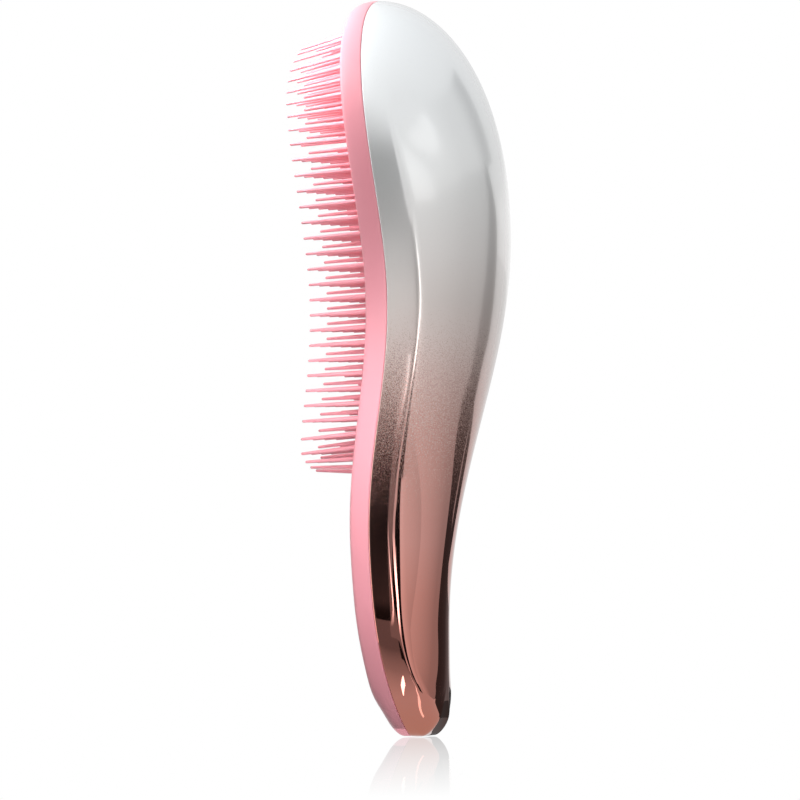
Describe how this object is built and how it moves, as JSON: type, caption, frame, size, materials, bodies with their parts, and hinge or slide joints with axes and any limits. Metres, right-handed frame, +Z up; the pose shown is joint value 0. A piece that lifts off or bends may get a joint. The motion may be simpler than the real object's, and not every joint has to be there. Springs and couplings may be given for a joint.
{
  "type": "detangling hair brush",
  "caption": "One-handed detangling hair brush: S-curved body with a domed back shell, a front frame and a flexible pad of long and short tapered pins.",
  "frame": {"origin": "middle of the small flat at the handle end, on which the brush stands upright", "axes": "+Z up the brush from the handle end to the head top, X across its width, -Y the way the pins point, +Y out of the domed back"},
  "size_m": [0.0676, 0.0531, 0.19],
  "materials": {
    "plated_shell": "mirror-gloss lacquered plating, pearl white at the head top fading to rose brown at the handle end",
    "pink_frame": "semi-gloss moulded plastic, pale pink",
    "pin_pad": "satin, slightly translucent moulded nylon, pink"
  },
  "bodies": {
    "root": {"back_shell": "plated_shell", "front_frame": "pink_frame", "bristle_pad": "pin_pad", "bristles_heel": "pin_pad", "bristles_lower": "pin_pad", "bristles_upper": "pin_pad", "bristles_crown": "pin_pad"}
  },
  "joints": []
}
